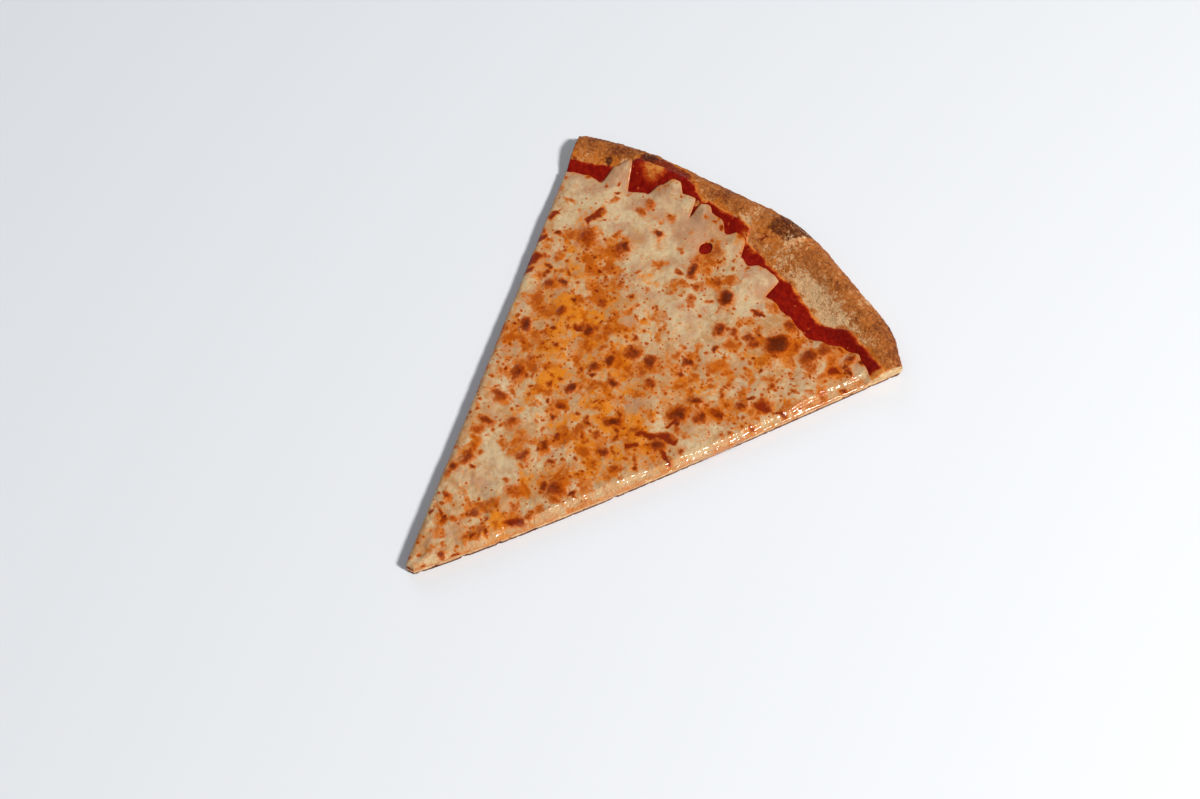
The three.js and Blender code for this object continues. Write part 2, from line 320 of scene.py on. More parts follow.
def inside(points, loops):
    """Whether each point is inside the closed loops, by the even-odd rule, row by row."""
    starts = np.vstack(loops)
    ends = np.vstack([np.roll(loop, -1, axis=0) for loop in loops])
    result = np.zeros(len(points), bool)
    for y in np.unique(points[:, 1]):
        crossed = (starts[:, 1] > y) != (ends[:, 1] > y)
        a = starts[crossed]
        b = ends[crossed]
        xs = np.sort(a[:, 0] + (y - a[:, 1]) / (b[:, 1] - a[:, 1]) * (b[:, 0] - a[:, 0]))
        row = points[:, 1] == y
        result[row] = np.searchsorted(xs, points[row, 0]) % 2 == 1
    return result


def border_distance(points, loops):
    """Distance from each point to the nearest point of the loops."""
    border = np.vstack(loops)
    tree = kdtree.KDTree(len(border))
    for i, (x, y) in enumerate(border.tolist()):
        tree.insert((x, y, 0), i)
    tree.balance()
    return np.array([tree.find((x, y, 0))[2] for x, y in points.tolist()])


def hexagonal(low, high, spacing):
    """Points in staggered rows that cover a plan box."""
    rows = np.arange(low[1], high[1], spacing * math.sqrt(3) / 2)
    columns = np.arange(low[0], high[0], spacing)
    grid = [np.column_stack([columns + spacing / 2 * (k % 2), np.full(len(columns), y)])
            for k, y in enumerate(rows)]
    return np.vstack(grid)


def fill(loops, layers):
    """Triangulates the inside of closed loops: an anticlockwise outer one, then clockwise holes.

    `layers` are (spacing, keep) of the inner points, where keep(points, distance from the border)
    says which stay. Returns the points, the loops' own ones first, and triangles that face up.
    """
    rng = np.random.default_rng(FILL_SEED)
    corners = np.vstack(loops)
    low, high = corners.min(axis=0), corners.max(axis=0)
    inner = []
    for spacing, keep in layers:
        grid = hexagonal(low, high, spacing)
        grid = grid[inside(grid, loops)]
        distance = border_distance(grid, loops)
        grid = grid[(distance > FILL_CLEARANCE * spacing) & keep(grid, distance)]
        inner.append(grid + rng.uniform(-FILL_JITTER, FILL_JITTER, grid.shape) * spacing)
    points = np.vstack([corners, *inner])
    following = np.concatenate([
        start + np.roll(np.arange(len(loop)), -1)
        for start, loop in zip(np.cumsum([0, *map(len, loops)]), loops)
    ])
    edges = list(enumerate(following.tolist()))
    # Four points far around keep straight borders off the hull, where slivers would form.
    far = (low + high) / 2 + (high - low).max() * np.array([(-1, -1), (1, -1), (1, 1), (-1, 1)])
    given = [Vector(p) for p in np.vstack([points, far]).tolist()]
    made = delaunay_2d_cdt(given, edges, [], 0, 1e-6, False)
    if len(made[0]) != len(given):
        raise RuntimeError("the triangulation merged or added points")
    triangles = facing_up(np.array([v[:] for v in made[0]]), np.array(made[2]))
    triangles = triangles[(triangles < len(points)).all(axis=1)]
    return points, triangles[~outside_loops(points, triangles, following, loops)]


def facing_up(points, triangles):
    a, b, c = (points[triangles[:, k]] for k in range(3))
    turn = (b[:, 0] - a[:, 0]) * (c[:, 1] - a[:, 1]) - (b[:, 1] - a[:, 1]) * (c[:, 0] - a[:, 0])
    return np.where(turn[:, None] < 0, triangles[:, ::-1], triangles)


def outside_loops(points, triangles, following, loops):
    """Which triangles are outside: only one with all its corners on the loops can be.

    `following` is the next point on its loop for each point of the loops. A triangle with an edge
    on a loop is inside if it runs the same way as that loop, and others are tested at the middle.
    """
    outside = (triangles < len(following)).all(axis=1)
    on_border = triangles[outside]
    forward = np.zeros(len(on_border), bool)
    backward = np.zeros(len(on_border), bool)
    for k in range(3):
        start, end = on_border[:, k], on_border[:, (k + 1) % 3]
        forward |= following[start] == end
        backward |= following[end] == start
    middle_out = ~inside(points[on_border].mean(axis=1), loops)
    outside[outside] = np.where(forward, False, np.where(backward, True, middle_out))
    return outside


def strip(count, rows, closed=True):
    """Triangles between successive rows of the same number of points, numbered row by row."""
    columns = np.arange(count if closed else count - 1)
    following = (columns + 1) % count
    faces = []
    for row in range(rows - 1):
        a, b = columns + row * count, following + row * count
        faces.append(np.column_stack([a, b + count, b]))
        faces.append(np.column_stack([a, a + count, b + count]))
    return np.vstack(faces)


class Shell:
    """Points in three dimensions and triangles, gathered sheet by sheet into one closed mesh.

    Each point has a number, `part`, that says where on the piece it is, and each triangle has the
    number of its material, its kind.
    """

    def __init__(self):
        self.points = np.zeros((0, 3))
        self.parts = np.zeros(0)
        self.triangles = np.zeros((0, 3), int)
        self.kinds = np.zeros(0, int)

    def add(self, points, triangles, part=0, kind=0):
        self.triangles = np.vstack([self.triangles, triangles + len(self.points)])
        self.points = np.vstack([self.points, points])
        self.parts = np.concatenate([self.parts, np.broadcast_to(part, len(points))])
        self.kinds = np.concatenate([self.kinds, np.full(len(triangles), kind)])

    def merge(self):
        """Joins points that coincide, so that neighbouring sheets share their border."""
        rounded = np.round(self.points, MERGE_DIGITS)
        _, first, number = np.unique(rounded, axis=0, return_index=True, return_inverse=True)
        number = number.reshape(-1)
        self.points = self.points[first]
        self.parts = self.parts[first]
        triangles = number[self.triangles]
        a, b, c = triangles.T
        whole = (a != b) & (b != c) & (c != a)
        self.triangles = triangles[whole]
        self.kinds = self.kinds[whole]

    def normals(self):
        a, b, c = (self.points[self.triangles[:, k]] for k in range(3))
        face = np.cross(b - a, c - a)
        total = np.zeros_like(self.points)
        for k in range(3):
            np.add.at(total, self.triangles[:, k], face)
        return total / np.maximum(np.linalg.norm(total, axis=1, keepdims=True), 1e-12)


def frame_shift():
    """From the slice's own plan to the frame: the two have the same widest points."""
    angles = np.linspace(-HALF_ANGLE, HALF_ANGLE, SHIFT_STEPS)
    outline = np.vstack([bowed(plan(angles, r)) for r in (TIP_RADIUS, rim_radius(angles))])
    box_middle = np.mean(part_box("dough"), axis=0)[:2] / MM
    return box_middle - (outline.min(axis=0) + outline.max(axis=0)) / 2


SHIFT = frame_shift()
ALL_LOW, ALL_HIGH = (np.array(corner) / MM for corner in (cad_low, cad_high))


def make_piece(name, shell, attributes, materials, node):
    """A mesh object from a shell in the slice's plan, with one value per point for each attribute."""
    points = shell.points.copy()
    points[:, :2] = bowed(points[:, :2]) + SHIFT
    points = np.clip(points, ALL_LOW, ALL_HIGH) * MM
    mesh = bpy.data.meshes.new(name)
    mesh.from_pydata(points.tolist(), [], shell.triangles.tolist())
    for key, values in attributes.items():
        mesh.attributes.new(key, "FLOAT", "POINT").data.foreach_set("value", values.astype("f"))
    for material in materials:
        mesh.materials.append(material)
    mesh.polygons.foreach_set("material_index", shell.kinds.astype("i"))
    mesh.polygons.foreach_set("use_smooth", np.ones(len(shell.triangles), bool))
    mesh.update()
    piece = bpy.data.objects.new(name, mesh)
    bpy.context.scene.collection.objects.link(piece)
    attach(piece, "root")
    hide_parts(node)
    return piece


# ---- materials ----


def srgb(red, green, blue):
    """A colour given as it looks on a screen, from 0 to 255, as the linear one of a shader."""
    def linear(v):
        v /= 255
        return v / 12.92 if v <= 0.04045 else ((v + 0.055) / 1.055) ** 2.4
    return (linear(red), linear(green), linear(blue), 1)


class Finish:
    """A material made of nodes. Each method adds nodes and returns their output."""

    def __init__(self, name, **settings):
        self.material = bpy.data.materials.new(name)
        self.material.use_nodes = True
        self.tree = self.material.node_tree
        self.shader = self.tree.nodes["Principled BSDF"]
        for key, value in settings.items():
            self.shader.inputs[key.replace("_", " ")].default_value = value
        self.place = self.tree.nodes.new("ShaderNodeTexCoord").outputs["Object"]

    def link(self, value, socket):
        if isinstance(value, bpy.types.NodeSocket):
            self.tree.links.new(value, socket)
        else:
            socket.default_value = value

    def node(self, kind, **inputs):
        node = self.tree.nodes.new("ShaderNode" + kind)
        for name, value in inputs.items():
            self.link(value, node.inputs[name])
        return node

    def attribute(self, name):
        node = self.node("Attribute")
        node.attribute_name = name
        return node.outputs["Fac"]

    def stretched(self, *scale):
        return self.node("Mapping", Vector=self.place, Scale=scale).outputs["Vector"]

    def noise(self, size, detail, roughness, distortion=0, place=None):
        """Noise from 0 to 1 with features about `size` mm across."""
        node = self.node("TexNoise", Vector=place or self.place, Scale=1 / (size * MM), Detail=detail,
                         Roughness=roughness, Distortion=distortion)
        return node.outputs["Fac"]

    def ripple(self, *settings):
        """The same noise about 0."""
        return self.math("SUBTRACT", self.noise(*settings), 0.5)

    def cells(self, size, place):
        """Distance in plan to the middle of the nearest cell, in cells, and two random numbers of it."""
        node = self.node("TexVoronoi", Vector=place, Scale=1 / (size * MM))
        node.voronoi_dimensions = "2D"
        split = self.node("SeparateColor", Color=node.outputs["Color"])
        return node.outputs["Distance"], split.outputs["Red"], split.outputs["Green"]

    def shaken(self, size, amount):
        """The surface's own place moved about by noise, for uneven outlines."""
        noise = self.node("TexNoise", Vector=self.place, Scale=1 / (size * MM)).outputs["Color"]
        return self.operate("VectorMath", "MULTIPLY_ADD", noise, (amount * MM,) * 3, self.place)

    def operate(self, kind, operation, *values):
        node = self.node(kind)
        node.operation = operation
        for socket, value in zip(node.inputs, values):
            self.link(value, socket)
        return node.outputs[0]

    def math(self, operation, *values):
        return self.operate("Math", operation, *values)

    def plus(self, total, *terms):
        """A value, or an attribute given by its name, plus values with their weights."""
        if isinstance(total, str):
            total = self.attribute(total)
        for weight, value in terms:
            total = self.math("MULTIPLY_ADD", value, weight, total)
        return total

    def between(self, value, low, high, to_low=0.0, to_high=1.0):
        """A smooth step of a value from one range to another."""
        node = self.node("MapRange", **{"Value": value, "From Min": low, "From Max": high,
                                        "To Min": to_low, "To Max": to_high})
        node.interpolation_type = "SMOOTHSTEP"
        return node.outputs["Result"]

    def mix(self, amount, a, b):
        node = self.node("Mix")
        node.data_type = "RGBA"
        for number, value in ((0, amount), (6, a), (7, b)):
            self.link(value, node.inputs[number])
        return node.outputs[2]

    def over(self, colour, value, low, high, paint, most=1.0):
        """A colour covered with paint, more and more as a value goes from low to high."""
        return self.mix(self.between(value, low, high, 0, most), colour, paint)

    def bump(self, height, distance):
        return self.node("Bump", Strength=1, Distance=distance * MM, Height=height).outputs["Normal"]

    def finished(self, colour, roughness, normal):
        for name, value in (("Base Color", colour), ("Roughness", roughness), ("Normal", normal)):
            self.link(value, self.shader.inputs[name])
        return self.material


CREAM = srgb(191, 167, 130)
SHADED_CREAM = srgb(174, 126, 80)
VEIL = srgb(166, 120, 90)
OIL = srgb(200, 114, 6)
TAN = srgb(186, 96, 4)
DARK_TAN = srgb(154, 64, 0)
CHEESE_AT_CUT = srgb(208, 154, 98)
THIN_CHEESE = srgb(188, 100, 20)
SPOT_HALO = srgb(192, 102, 12)
SPOT = srgb(168, 76, 4)
DARK_SPOT = srgb(130, 44, 0)
BURNT_SPOT = srgb(80, 18, 0)
WET_STREAK = srgb(140, 34, 0)

DEEP_SAUCE = srgb(106, 5, 0)
SAUCE = srgb(132, 18, 0)
THINNED_SAUCE = srgb(158, 50, 6)
SAUCE_FILM = srgb(196, 122, 52)
PULP = srgb(186, 80, 30)

PALE_CRUST = srgb(220, 178, 130)
CRUST = srgb(178, 102, 42)
DARK_CRUST = srgb(114, 52, 18)
OILY_CRUST = srgb(196, 106, 24)
SMEARED_CRUST = srgb(114, 14, 0)
CHARRED_CRUST = srgb(76, 26, 6)
# A painted sheen on the raised fibres of the crust:
FIBRE_SHEEN = srgb(222, 174, 122)

PALE_CRUMB = srgb(216, 186, 138)
DARK_CRUMB = srgb(190, 146, 96)
BAKED_CRUMB = srgb(176, 106, 52)
BURNT_CRUMB = srgb(88, 40, 16)
OILY_CRUMB = srgb(200, 100, 28)

PALE_BASE = srgb(214, 168, 112)
TAN_BASE = srgb(176, 112, 62)
SCORCHED_BASE = srgb(86, 46, 24)
FLOUR = srgb(226, 204, 168)

# In the finishes below, sizes are mm, and the other numbers are weights and limits.

DOT_CELLS = (2.7, 4.6)  # mm between small dots, close ones and sparse ones
DOT_RADII = (0.12, 0.32)  # from the smallest dot to the largest, in cells


def small_dots(f, size):
    """Small round spots, from 0 to 1, one in each cell of plan whose random number is low enough."""
    distance, pick, grade = f.cells(size, f.shaken(1.6, 1.3))
    share = f.math("DIVIDE", distance, f.between(grade, 0, 1, *DOT_RADII))
    kept = f.between(f.math("SUBTRACT", f.attribute("dotted"), pick), 0, 0.1)
    return f.math("MULTIPLY", f.between(share, 1.3, 0.3), kept)


def cheese_finish():
    """Melted cheese: pale and slightly see-through, stained by oil, and browned in spots."""
    f = Finish(
        "melted_cheese",
        Subsurface_Weight=0.08, Subsurface_Radius=(1.2, 0.6, 0.25), Subsurface_Scale=MM,
        Coat_Roughness=0.1, IOR=1.4, Specular_IOR_Level=0.08,
    )
    fine = f.ripple(1.4, 4, 0.6)
    medium = f.ripple(4, 5, 0.65, 0.8)
    broad = f.ripple(9, 5, 0.65, 1.2)
    edge = f.attribute("edge")
    colour = f.mix(f.between(f.plus("pale", (4, medium)), -0.6, 0.8), SHADED_CREAM, CREAM)
    colour = f.over(colour, f.plus("veil", (2.6, medium)), 0.05, 1.1, VEIL, 0.75)
    oil = f.plus("oil", (3.6, broad), (1.2, fine), (2.5, medium))
    colour = f.over(colour, oil, 0.2, 1.2, OIL, 0.92)
    tan = f.plus("tan", (1.6, medium), (1.3, fine))
    colour = f.over(colour, tan, 0.1, 0.75, TAN, 0.8)
    colour = f.over(colour, tan, 0.6, 1.3, DARK_TAN, 0.88)
    colour = f.mix(f.math("MULTIPLY", edge, 0.3), colour, CHEESE_AT_CUT)
    colour = f.over(colour, f.plus("thin", (1.6, fine)), 0.2, 1.1, THIN_CHEESE, 0.55)
    dots = f.math("MAXIMUM", *(small_dots(f, size) for size in DOT_CELLS))
    browned = f.math("MAXIMUM", f.plus("brown", (1, fine)), f.math("MULTIPLY_ADD", dots, 0.9, -0.6))
    colour = f.over(colour, browned, -0.6, 0.05, SPOT_HALO, 0.5)
    spot = f.mix(f.between(browned, 0.1, 0.5), SPOT, DARK_SPOT)
    spot = f.over(spot, browned, 0.4, 0.85, BURNT_SPOT)
    colour = f.over(colour, browned, -0.28, 0.3, spot, 0.95)
    colour = f.over(colour, f.plus("sauce", (2.4, fine)), 0, 1.3, WET_STREAK, 0.75)
    f.link(f.math("MULTIPLY_ADD", edge, 0.44, 0.1), f.shader.inputs["Coat Weight"])
    roughness = f.plus(f.between(medium, -0.2, 0.2, 0.2, 0.34), (-0.08, edge))
    relief = f.plus(f.noise(1.1, 3, 0.6), (1.5, f.noise(3.4, 2, 0.5)))
    beads = f.math("MULTIPLY", f.noise(1, 1, 0.5), f.math("MULTIPLY", edge, 2.2))
    return f.finished(colour, roughness, f.bump(f.math("ADD", relief, beads), 0.3))


def sauce_finish():
    """Baked tomato sauce: dark red with pulp, and thin and orange along its edge."""
    f = Finish(
        "tomato_sauce",
        Subsurface_Weight=0.03, Subsurface_Radius=(1.5, 0.3, 0.1), Subsurface_Scale=MM,
        IOR=1.36, Specular_IOR_Level=0.2,
    )
    pulp = f.noise(2.2, 5, 0.6, 0.4)
    colour = f.mix(f.between(pulp, 0.35, 0.7), DEEP_SAUCE, SAUCE)
    thin = f.plus("thin", (1.8, f.ripple(3, 5, 0.65, 0.6)))
    colour = f.over(colour, thin, 0.25, 0.75, THINNED_SAUCE)
    colour = f.over(colour, thin, 0.65, 1.2, SAUCE_FILM)
    distance, pick, _ = f.cells(4, f.shaken(2, 1.5))
    scrap = f.math("MULTIPLY", f.between(distance, 0.16, 0.08), f.between(pick, 0.75, 0.8))
    colour = f.mix(f.math("MULTIPLY", scrap, 0.6), colour, PULP)
    relief = f.math("ADD", f.noise(1.4, 4, 0.6), f.noise(0.5, 2, 0.5))
    return f.finished(colour, f.between(pulp, 0.3, 0.7, 0.16, 0.3), f.bump(relief, 0.16))


def crust_finish():
    """The baked skin of the rim: toasted on top and outside, pale and oily on the inner slope."""
    f = Finish(
        "baked_crust",
        Subsurface_Weight=0.04, Subsurface_Radius=(2, 1, 0.5), Subsurface_Scale=MM,
        IOR=1.4, Specular_IOR_Level=0.12,
    )
    grain = f.ripple(1.8, 5, 0.75, 0.5)
    toast = f.plus("toast", (2, f.ripple(8, 5, 0.62, 0.6)), (3.2, grain))
    colour = f.mix(f.between(toast, -0.1, 0.55), PALE_CRUST, CRUST)
    colour = f.over(colour, toast, 0.5, 1.5, DARK_CRUST)
    stain = f.plus("stain", (3, f.ripple(3.6, 5, 0.68, 0.6)))
    colour = f.over(colour, stain, 0.15, 0.9, OILY_CRUST, 0.8)
    colour = f.over(colour, stain, 1.05, 1.5, SMEARED_CRUST, 0.9)
    colour = f.over(colour, f.plus("char", (4, grain)), 0.2, 1.2, CHARRED_CRUST, 0.92)
    # Painted sheen: the highest points of the fibre noise, which the bump also raises, are painted in a
    # lighter colour.
    fibres = f.noise(1, 4, 0.65, 0.6)
    colour = f.over(colour, fibres, 0.54, 0.7, FIBRE_SHEEN, 0.34)
    roughness = f.between(grain, -0.2, 0.2, 0.45, 0.62)
    return f.finished(colour, roughness, f.bump(f.plus(grain, (0.8, fibres)), 1))


def crumb_finish():
    """The cut dough: pale, open and slightly glossy, browned along the bottom."""
    f = Finish(
        "cut_crumb",
        Subsurface_Weight=0.2, Subsurface_Radius=(2, 1.3, 0.8), Subsurface_Scale=MM, IOR=1.4,
    )
    grain = f.noise(1.2, 4, 0.6)
    uneven = f.math("SUBTRACT", grain, 0.5)
    layered = f.noise(2.4, 4, 0.6, 0.3, f.stretched(0.35, 0.35, 1.6))
    colour = f.mix(f.between(layered, 0.35, 0.65), DARK_CRUMB, PALE_CRUMB)
    height = f.plus("height", (0.8, uneven))
    colour = f.over(colour, height, 2.3, 1.2, BAKED_CRUMB)
    colour = f.over(colour, height, 1.6, 0.8, BURNT_CRUMB)
    colour = f.over(colour, f.plus("under_sauce", (1.2, uneven)), 0.1, 0.9, OILY_CRUMB, 0.85)
    roughness = f.between(grain, 0.3, 0.7, 0.5, 0.65)
    return f.finished(colour, roughness, f.bump(f.plus(grain, (1.2, layered)), 0.4))


def base_finish():
    """The underside, baked on stone: tan with dark spots and a dusting of flour."""
    f = Finish("baked_base", IOR=1.4)
    patch = f.noise(14, 4, 0.6, 0.8)
    grain = f.noise(1.6, 4, 0.65)
    colour = f.mix(f.between(patch, 0.35, 0.65), PALE_BASE, TAN_BASE)
    colour = f.over(colour, f.plus(patch, (0.6, f.noise(4, 4, 0.6, 0.6))), 0.86, 1.02, SCORCHED_BASE)
    colour = f.over(colour, grain, 0.56, 0.66, FLOUR, 0.6)
    return f.finished(colour, f.between(grain, 0.3, 0.7, 0.7, 0.85), f.bump(grain, 0.3))


# ---- the dough ----

NOSE_LENGTH = 13.5  # of the skin from the crest of the rim to its widest point
TUCK_LENGTH = 6  # and from there to the bottom edge
FINE_FROM = 206  # the toppings hide the dough inside this radius
TIP_STEP = 6  # degrees between points of the blunt tip
TIP_ROWS = 7
SKIN, CRUMB, BASE = 0, 1, 2

# Noises on the dough: height in mm, size in mm, seed, and octaves if not 3, or a floor for lumps.
RIM_ROUGHNESS = [(0.4, 17, 1), (0.24, 6, 2), (0.1, 1.3, 4, 2)]
RIM_BUBBLES = (0.9, 9, 5, 0.25)
RIM_WOOL = (0.22, 1, 3, 2)
WOOL_SHAPE = (1.3, 4.2, 3)  # mm along the rim, across it and upwards
CRUMB_ROUGHNESS = [(0.2, 2.4, 7), (0.1, 0.9, 8, 2)]
CRUMB_PITS = (-1.5, 3.2, 6, 0.22)
BASE_PITS = 0.3
CREASE = ((27, 247), (21, 236))
CREASE_WIDTH = 0.8
CREASE_DEPTH = 0.8

# Looks of the rim. Places across it are mm outwards from its crest.
TOASTED = [(-18, 12, 0.2), (24, 5, 0.15)]  # degrees, half width and how much
PALE_SLOPE = (15, 8.5)  # degrees and half width
BARE_STRIPE = (-17.4, 1.4)
RIM_STAINS = [(2.2, 3.8, 1, -5, 6), (-20.5, 4, 0.8, -8, 1)]  # and where each starts and ends to fade
SMEAR_SIDES = (-16.6, -15.6, -10, -8.5)  # degrees between which the smear comes and goes
RIM_PITS = [(-19.4, 235, 1.3), (-15, 243, 2.4)]  # charred: degrees, mm from the centre, and radius
BLISTER_LEFT = 6
BLISTER_INNER = 236
BLISTER_RIGHT = (27, 251)
BLISTER_SLANT = 0.75
UNDER_SAUCE = 1.4  # depth to which sauce soaks into the dough


def tip_angles():
    return spaced(-HALF_ANGLE, HALF_ANGLE, TIP_STEP)


def outer_angles():
    return spaced(-HALF_ANGLE, HALF_ANGLE, math.degrees(SKIN_SPACING / PIE_RADIUS))


def skin_end(angle):
    return crest_radius(angle) + NOSE_LENGTH + TUCK_LENGTH


def skin_place(angle, length):
    """Radius and height on the dough's skin, at a length from the pie's centre over the crest."""
    crest = crest_radius(angle)
    nose = np.clip((length - crest) / NOSE_LENGTH, 0, 1) * np.pi / 2
    tuck = np.clip((length - crest - NOSE_LENGTH) / TUCK_LENGTH, 0, 1) * np.pi / 2
    radius = np.minimum(length, crest) + RIM_CREST_INSET * np.sin(nose) - RIM_TUCK * (1 - np.cos(tuck))
    over_nose = RIM_BELLY_HEIGHT + (rim_height(angle) - RIM_BELLY_HEIGHT) * np.cos(nose)
    height = np.where(length < crest, dough_top(angle, length), over_nose)
    return radius, np.where(tuck > 0, RIM_BELLY_HEIGHT * (1 - np.sin(tuck)), height)


def side_lengths(angle):
    return spaced(TIP_RADIUS, skin_end(angle), CRUMB_SPACING)


def base_radii(angle):
    return spaced(TIP_RADIUS, rim_radius(angle) - RIM_TUCK, CRUMB_SPACING)


def sector(right, outer, left):
    """A closed loop, anticlockwise: out along the right cut, back along the left, round the tip."""
    angles = outer_angles()[::-1]
    return np.vstack([
        plan(HALF_ANGLE, right[:-1]),
        plan(angles[:-1], outer(angles[:-1])),
        plan(-HALF_ANGLE, left[:0:-1]),
        plan(tip_angles()[:-1], TIP_RADIUS),
    ])


def hidden_grading(visible):
    """Inner points close together where `visible` says so and near the border, and else sparse."""
    return [
        (SKIN_SPACING, lambda p, d: visible(p)),
        (HIDDEN_BORDER_SPACING, lambda p, d: ~visible(p) & (d < HIDDEN_BORDER)),
        (HIDDEN_SPACING, lambda p, d: ~visible(p) & (d >= HIDDEN_BORDER)),
    ]


def past_toppings(points):
    return polar(points)[1] > FINE_FROM


def skin_sheet():
    """The skin over the rim to the bottom edge, triangulated flat and then folded."""
    loop = sector(side_lengths(HALF_ANGLE), skin_end, side_lengths(-HALF_ANGLE))
    flat, triangles = fill([loop], hidden_grading(past_toppings))
    angle, length = polar(flat)
    angle = np.clip(angle, -HALF_ANGLE, HALF_ANGLE)
    radius, height = skin_place(angle, length)
    return np.column_stack([plan(angle, radius), height]), triangles


def cut_sheet(angle):
    """The cut face at one side, from the tip to the nose of the rim."""
    lengths = side_lengths(angle)
    top = np.column_stack(skin_place(np.full(len(lengths), angle), lengths))
    base = base_radii(angle)
    bottom = np.column_stack([base, np.zeros(len(base))])
    tip_height = top[0, 1] * np.linspace(0, 1, TIP_ROWS)
    tip = np.column_stack([np.full(TIP_ROWS, TIP_RADIUS), tip_height])
    loop = np.vstack([bottom[:-1], top[:0:-1], tip[:0:-1]])
    flat, triangles = fill([loop], [(CRUMB_SPACING, lambda p, d: d > 0)])
    if angle < 0:
        triangles = triangles[:, ::-1]
    return np.column_stack([plan(angle, flat[:, 0]), flat[:, 1]]), triangles


def tip_sheet():
    angles = tip_angles()
    rows = np.linspace(1, 0, TIP_ROWS)
    ring = plan(angles, TIP_RADIUS)
    heights = dough_top(angles, TIP_RADIUS)
    points = np.vstack([np.column_stack([ring, heights * row]) for row in rows])
    return points, strip(len(angles), TIP_ROWS, closed=False)


def base_sheet():
    loop = sector(base_radii(HALF_ANGLE), lambda a: rim_radius(a) - RIM_TUCK, base_radii(-HALF_ANGLE))
    flat, triangles = fill([loop], [(UNDER_SPACING, lambda p, d: d > 0)])
    return np.column_stack([flat, np.zeros(len(flat))]), triangles[:, ::-1]


def segment_distance(points, segment):
    start, end = (np.array(p, float) for p in segment)
    line = end - start
    t = np.clip((points - start) @ line / (line @ line), 0, 1)
    return np.linalg.norm(points - start - np.outer(t, line), axis=1)


def rim_relief(points, angle, radius):
    """Swells, small blisters, the woolly grain of the skin, and the crease beside the blister."""
    wool = np.column_stack([np.radians(angle) * PIE_RADIUS, radius, points[:, 2]]) / WOOL_SHAPE
    crease = np.exp(-(segment_distance(points[:, :2], CREASE) / CREASE_WIDTH) ** 2)
    relief = layered(points, RIM_ROUGHNESS) + layered(wool, [RIM_WOOL])
    return relief + lumps(points, *RIM_BUBBLES) - CREASE_DEPTH * crease


def crumb_relief(points):
    return layered(points, CRUMB_ROUGHNESS) + lumps(points, *CRUMB_PITS)


def rim_looks(points, angle, radius):
    """How toasted, how stained with sauce, and how charred each point of the skin is."""
    across = radius - crest_radius(angle)
    outside = smoothstep(across, 0, RIM_CREST_INSET) * fade(points[:, 2], 3, 9)
    pale = bell(angle, *PALE_SLOPE) * fade(across + 5 * fractal(points, 9, 14), -13, -3)
    bare = bell(angle, *BARE_STRIPE) * fade(across, -4, 1)
    toast = 0.2 + 0.55 * smoothstep(across, -11, 0) + 0.15 * outside - 0.42 * pale - 0.7 * bare
    toast += swells(TOASTED, angle) + 0.5 * fractal(points, 15, 13)
    beyond = radius - along(SAUCE_REACH, angle) + 2 * fractal(points, 6, 11)
    stain = 1.05 * fade(beyond, -0.5, 2.2 + 4.5 * smoothstep(-angle, 3, 10))
    for centre, half, strength, start, end in RIM_STAINS:
        stain = np.maximum(stain, strength * bell(angle, centre, half) * fade(across, start, end))
    smear = smoothstep(angle, *SMEAR_SIDES[:2]) * fade(angle, *SMEAR_SIDES[2:])
    stain = np.maximum(stain, 2.1 * smear * fade(across, 3.5, 7.5))
    stain += 0.3 * fractal(points, 9, 12) - 1.2 * bare
    x, y = points[:, 0], points[:, 1]
    right_side = BLISTER_RIGHT[0] + BLISTER_SLANT * (y - BLISTER_RIGHT[1])
    char = smoothstep(x, BLISTER_LEFT, BLISTER_LEFT + 2) * fade(x, right_side, right_side + 2)
    char *= smoothstep(y, BLISTER_INNER, BLISTER_INNER + 4)
    for at_angle, at_radius, size in RIM_PITS:
        middle = plan(at_angle, at_radius)[0]
        char = np.maximum(char, 2.2 - np.linalg.norm(points[:, :2] - middle, axis=1) / size)
    return toast, stain, char


def build_dough(materials):
    shell = Shell()
    shell.add(*skin_sheet(), SKIN, SKIN)
    shell.add(*cut_sheet(HALF_ANGLE), CRUMB, CRUMB)
    shell.add(*cut_sheet(-HALF_ANGLE), CRUMB, CRUMB)
    shell.add(*tip_sheet(), CRUMB, CRUMB)
    shell.add(*base_sheet(), BASE, BASE)
    shell.merge()
    smooth = shell.points.copy()
    angle, radius = polar(smooth)
    in_sight = smoothstep(radius, FINE_FROM - 4, FINE_FROM + 4)
    on_rim = rim_relief(smooth, angle, radius) * in_sight
    relief = np.where(shell.parts == CRUMB, crumb_relief(smooth), on_rim)
    relief[shell.parts == BASE] = -BASE_PITS * np.abs(fractal(smooth[shell.parts == BASE], 5, 9))
    shell.points = smooth + shell.normals() * relief[:, None]
    toast, stain, char = rim_looks(smooth, angle, radius)
    under_sauce = UNDER_SAUCE - (dough_top(angle, radius) - smooth[:, 2])
    looks = {"toast": toast, "stain": stain, "char": char, "height": smooth[:, 2],
             "under_sauce": under_sauce}
    return make_piece("dough_slice", shell, looks, materials, "dough")


# ---- the toppings ----

LEFT_OUT = 0.05  # the edge of the cheese past each cut, before its bulge
RIGHT_OUT = 0.2
EDGE_BULGE = 0.6
BULGE_START = 0.12  # of half a wave, which is the outline of the bulge
WALL_ROWS = 9
ROUNDING = 3.4  # width over which the cheese rounds off towards its edges
EDGE_SHARE = 0.22  # of its thickness that is left at the very edge
LEDGE_SHARE = 0.45  # of its thickness that is left on the ledge along the right-hand cut
CORNER = 0.6  # degrees over which the far edge turns into a cut
FAR_EDGE_INSET = 0.5  # degrees from each cut that don't count as far edge
CHEESE_TIP = TIP_RADIUS + 0.4
CHEESE_WANDER = 0.9  # of its far edge
CHEESE_LAP = 0.25  # how far its sides reach below its underside
LOWEST_DRIP = 0.2
BEAD_HEIGHT = 0.3
SAUCE_OUT = 0.1
SAUCE_TIP = TIP_RADIUS + 0.3
SAUCE_WANDER = 0.7
